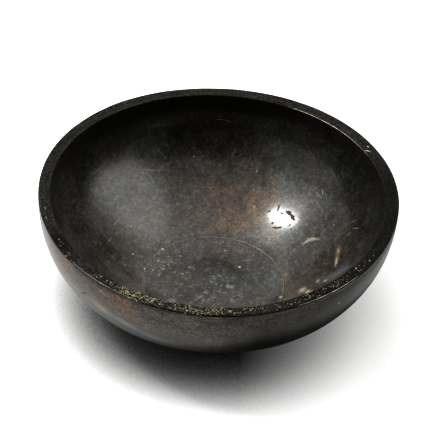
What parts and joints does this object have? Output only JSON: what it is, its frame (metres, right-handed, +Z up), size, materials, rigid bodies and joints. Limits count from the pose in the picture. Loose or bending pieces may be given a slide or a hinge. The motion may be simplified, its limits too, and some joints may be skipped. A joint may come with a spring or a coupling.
{
  "type": "bronze bowl",
  "caption": "Heavy round cast bronze bowl with a thick flat lip and a flattened base, dark worn patina, open inside.",
  "frame": {"origin": "centre of the flat underside that the bowl stands on", "axes": "+Z up out of the mouth; the picture looks down along +Y, so -Y is the near side of the rim"},
  "size_m": [0.2404, 0.2404, 0.0899],
  "materials": {
    "bronze": "satin dark brown-black patina, worn and speckled along the lip"
  },
  "bodies": {
    "root": {"bowl": "bronze"}
  },
  "joints": []
}
